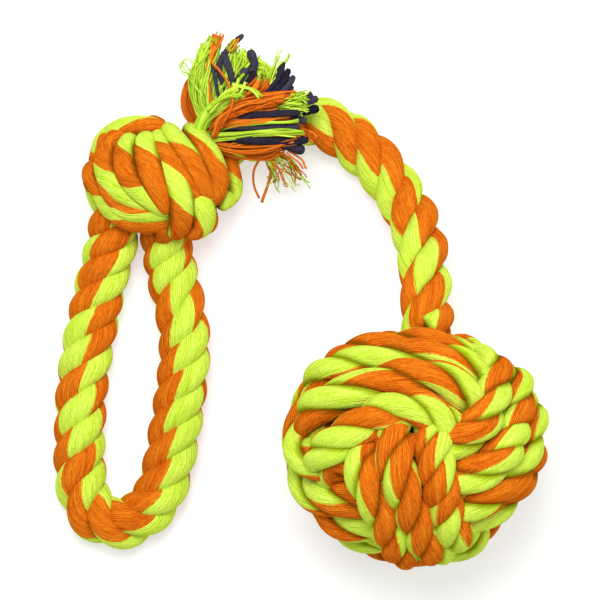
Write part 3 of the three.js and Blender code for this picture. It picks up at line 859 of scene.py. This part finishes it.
rubber_and_gap_shade = Finish("rubber_and_gap_shade")
place = rubber_and_gap_shade.node("ShaderNodeTexCoord", {}, {}, "Object")
grain = rubber_and_gap_shade.node(
    "ShaderNodeTexNoise", {}, {"Vector": place, "Scale": RUBBER_GRAIN, "Detail": 3.0}
)
relief = rubber_and_gap_shade.node(
    "ShaderNodeBump", {}, {"Height": grain, "Strength": 0.5, "Distance": RUBBER_RELIEF}
)
rubber_and_gap_shade.set_shader(
    {
        "Base Color": rubber_and_gap_shade.mixed(grain, RUBBER_AND_GAP_SHADE_DEEP, RUBBER_AND_GAP_SHADE),
        "Normal": relief,
        "Roughness": RUBBER_ROUGHNESS,
    }
)

core_mesh = bpy.data.meshes.new("ball_core")
shape = bmesh.new()
bmesh.ops.create_uvsphere(shape, u_segments=32, v_segments=20, radius=CORE_RADIUS)
bmesh.ops.translate(shape, verts=shape.verts, vec=Vector(ball_middle))
shape.to_mesh(core_mesh)
shape.free()
core_mesh.shade_smooth()
ball_core = bpy.data.objects.new("ball_core_ball", core_mesh)
bpy.context.scene.collection.objects.link(ball_core)
ball_core.data.materials.append(rubber_and_gap_shade.material)
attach(ball_core, "root")
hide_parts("ball_core")

# Ball winding
# The same cotton rope, wound by hand over the core in three bands square to each other and pulled
# tight. Each band goes over one neighbour on two faces and under the other on the next two. A
# turn is a rounded oblong, and the rope climbs to the next turn where it is covered.
WOUND_STRAND = 0.0046
WOUND_HELIX = 0.0031
WOUND_STEP = 0.00125
PITCH = 0.0139
CLIMB = 0.25
FIRST_WOUND = 0.25
OBLONG = 4
MOST_TURNS = 4
SAMPLES_PER_TURN = 1200
# Half the length and half the width of a turn in the middle of a band, and of one at its side.
inner_turn = np.array([0.0423, 0.0323])
outer_turn = np.array([0.0381, 0.0262])

# The ways through the middles of the winding's faces.
face_ways = [[-0.336, 0.760, 0.557], [0.927, 0.161, 0.339], [0.168, 0.630, -0.758]]
ball_turned = unit(np.array(face_ways)).T

# The ball is not quite round. It is a little flat where it lies, shorter at its upper and lower
# end in the picture, and narrower at its right and left below its middle.
FLATTENED = 0.93
HALF_ACROSS = 0.0445
UPPER_SHORTER = 0.1
LOWER_SHORTER = 0.15
NARROW_AT = -0.027
NARROW_REACH = 0.014
RIGHT_NARROWER = 0.27
LEFT_NARROWER = 0.19


def band_path(turns, u, v, w, place, shift, spread):
    """Points of one band about the ball's middle, and the angle wound at each, in degrees. Near
    a place the other bands press the band aside by a shift."""
    t = CLIMB / 2 + np.linspace(0, 1, SAMPLES_PER_TURN * turns) * (turns - CLIMB)
    turn = np.floor(t + CLIMB / 2 + 1e-9)
    climbed = np.minimum((t - turn) / CLIMB - 0.5, 0)
    offset = np.clip(turn + climbed, 0, turns - 1) - (MOST_TURNS - 1) / 2 + (MOST_TURNS - turns)
    outer = np.clip(np.abs(offset) - 0.5, 0, 1)[:, None]
    reach = inner_turn + (outer_turn - inner_turn) * outer
    angle = (t + FIRST_WOUND) * 2 * math.pi
    ray = np.stack([np.cos(angle), np.sin(angle)], 1)
    size = (np.abs(ray / reach) ** OBLONG).sum(1, keepdims=True) ** (-1 / OBLONG)
    local = np.zeros((len(t), 3))
    local[:, [u, v]] = ray * size
    local[:, w] = offset * PITCH
    points = local @ ball_turned.T
    shorter = np.where(points[:, 1] > 0, UPPER_SHORTER, LOWER_SHORTER)
    points[:, 1] *= 1 - shorter * (points[:, 1] / HALF_ACROSS) ** 2
    narrower = np.where(points[:, 0] > 0, RIGHT_NARROWER, LEFT_NARROWER)
    points[:, 0] *= 1 - narrower * np.exp(-(((points[:, 1] - NARROW_AT) / NARROW_REACH) ** 2))
    points[:, 2] *= FLATTENED
    apart = np.linalg.norm(points - np.array(place) * MM, axis=1)
    points += np.exp(-((apart / MM / spread) ** 2))[:, None] * np.array(shift) * MM
    path = evenly(points, WOUND_STEP)
    wound = np.interp(travelled(path), travelled(points), np.degrees(angle))
    return path, wound


# Each band as its turns, the axes that it turns about, what presses it aside, and its lobes as
# degrees wound and where the lime side points.
bands = {
    "ball_band_first": (
        (4, 0, 1, 2, (-30.4, 9.2, 27), (0, -9, 3), 15.8),
        [(322, 60), (340, 30), (358, 180), (376, 0), (395, 50), (648, 102), (670, -84),
         (690, 60), (720, -90), (742, 180), (766, 60), (1047, 30), (1071, 60), (1101, 165),
         (1129, 50), (1401, -100), (1430, -100), (1460, -100)],
    ),
    "ball_band_second": (
        (4, 1, 2, 0, (0, 0, 0), (0, 0, 0), 10),
        [(222, -75), (330, -63), (354, 109), (556, -109), (580, 120), (672, -44),
         (692, 150), (714, 0), (741, 10), (904, -107), (927, -70), (948, -121),
         (1052, 60), (1066, 0), (1083, 180), (1109, 20), (1264, 88), (1290, -38), (1315, 180),
         (1407, 130), (1429, 50), (1457, 180), (1482, -110)],
    ),
    "ball_band_third": (
        (3, 2, 0, 1, (-21.6, 4.2, 35), (2, 0, -6), 10),
        [(158, 90), (180, 150), (198, -140), (214, 180), (230, 180), (496, 166), (511, 110),
         (528, 160), (549, 140), (567, 180), (865, -80), (879, -110), (893, 150), (910, 40)],
    ),
}
for node, (way, showings) in bands.items():
    path, wound = band_path(*way)
    ways = np.interp([angle for angle, lime_side in showings], wound, travelled(path))
    lobes = [(float(s), lime_side) for s, (angle, lime_side) in zip(ways, showings)]
    strands = lay_rope(
        path + ball_middle, path, lobes, WOUND_STRAND, WOUND_HELIX, TIGHT_TURNS_BACK, TIGHT_SIDES
    )
    make_strands(node + "_strands", strands, cotton, node)

# Table and light
# A plain pale table top that the toy lies on, lit by a white room, a soft lamp over the far end
# and a fainter one at the right. The table gives off some light of its own, so it shows white.
TABLE_HALF = 3
TABLE_GREY = (0.55, 0.55, 0.55, 1)
TABLE_ROUGHNESS = 0.9
TABLE_GLOW = 0.48
ROOM_LIGHT = 0.5
WHITE = (1, 1, 1, 1)

pale = Finish("pale")
pale.set_shader(
    {
        "Base Color": TABLE_GREY,
        "Roughness": TABLE_ROUGHNESS,
        "Emission Color": WHITE,
        "Emission Strength": TABLE_GLOW,
    }
)
table_mesh = bpy.data.meshes.new("table")
shape = bmesh.new()
bmesh.ops.create_grid(shape, x_segments=1, y_segments=1, size=TABLE_HALF)
shape.to_mesh(table_mesh)
shape.free()
table = bpy.data.objects.new("table", table_mesh)
bpy.context.scene.collection.objects.link(table)
table.data.materials.append(pale.material)

world = bpy.data.worlds.new("studio")
bpy.context.scene.world = world
world.use_nodes = True
sky = world.node_tree.nodes["Background"]
sky.inputs["Color"].default_value = WHITE
sky.inputs["Strength"].default_value = ROOM_LIGHT


def add_lamp(name, place, size, power):
    lamp = bpy.data.objects.new(name, bpy.data.lights.new(name, "AREA"))
    bpy.context.scene.collection.objects.link(lamp)
    lamp.data.size = size
    lamp.data.energy = power
    lamp.location = place
    lamp.rotation_euler = Vector(place).to_track_quat("Z", "Y").to_euler()


add_lamp("lamp_over", place=(-0.1, 0.4, 1.2), size=0.6, power=15)
add_lamp("lamp_side", place=(0.8, 0.1, 0.9), size=0.8, power=3)
bpy.context.scene.view_settings.view_transform = "Standard"
